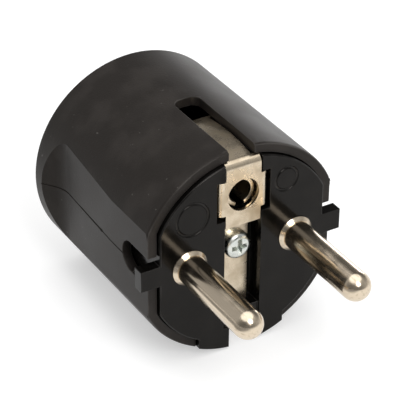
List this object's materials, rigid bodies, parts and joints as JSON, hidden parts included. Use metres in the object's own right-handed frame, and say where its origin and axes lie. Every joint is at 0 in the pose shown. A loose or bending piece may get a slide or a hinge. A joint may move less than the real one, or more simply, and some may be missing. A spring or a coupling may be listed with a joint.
{
  "type": "mains plug",
  "caption": "Rewirable round-pin mains plug with side earth contacts and an earth socket: black hood with grip flats over a moulded pin carrier.",
  "frame": {"origin": "middle of the engagement face, midway between the axes of the line pins", "axes": "+X towards the right pin as seen from the front, +Y to the plug's back, so the pins point to -Y, +Z towards the upper earth contact"},
  "size_m": [0.036, 0.056, 0.036],
  "materials": {
    "hood": "satin black moulding with a fine grain",
    "carrier": "smooth black thermoset moulding",
    "pin": "polished nickel plating",
    "earth_sheet": "satin nickel plating",
    "zinc_screw": "bright zinc plating",
    "terminal_brass": "turned and milled brass",
    "clamp": "plain black moulding"
  },
  "bodies": {
    "root": {"hood": "hood", "pin_carrier": "carrier", "pin_left": "pin", "pin_right": "pin", "earth_contact": "earth_sheet", "earth_strap": "earth_sheet", "centre_screw": "zinc_screw", "threaded_bush": "terminal_brass", "terminal_block_left": "terminal_brass", "terminal_block_right": "terminal_brass", "terminal_screw_left": "zinc_screw", "terminal_screw_right": "zinc_screw", "earth_terminal_washer": "zinc_screw", "earth_terminal_screw": "zinc_screw", "cord_clamp": "clamp", "cord_clamp_screw_left": "zinc_screw", "cord_clamp_screw_right": "zinc_screw"}
  },
  "joints": []
}
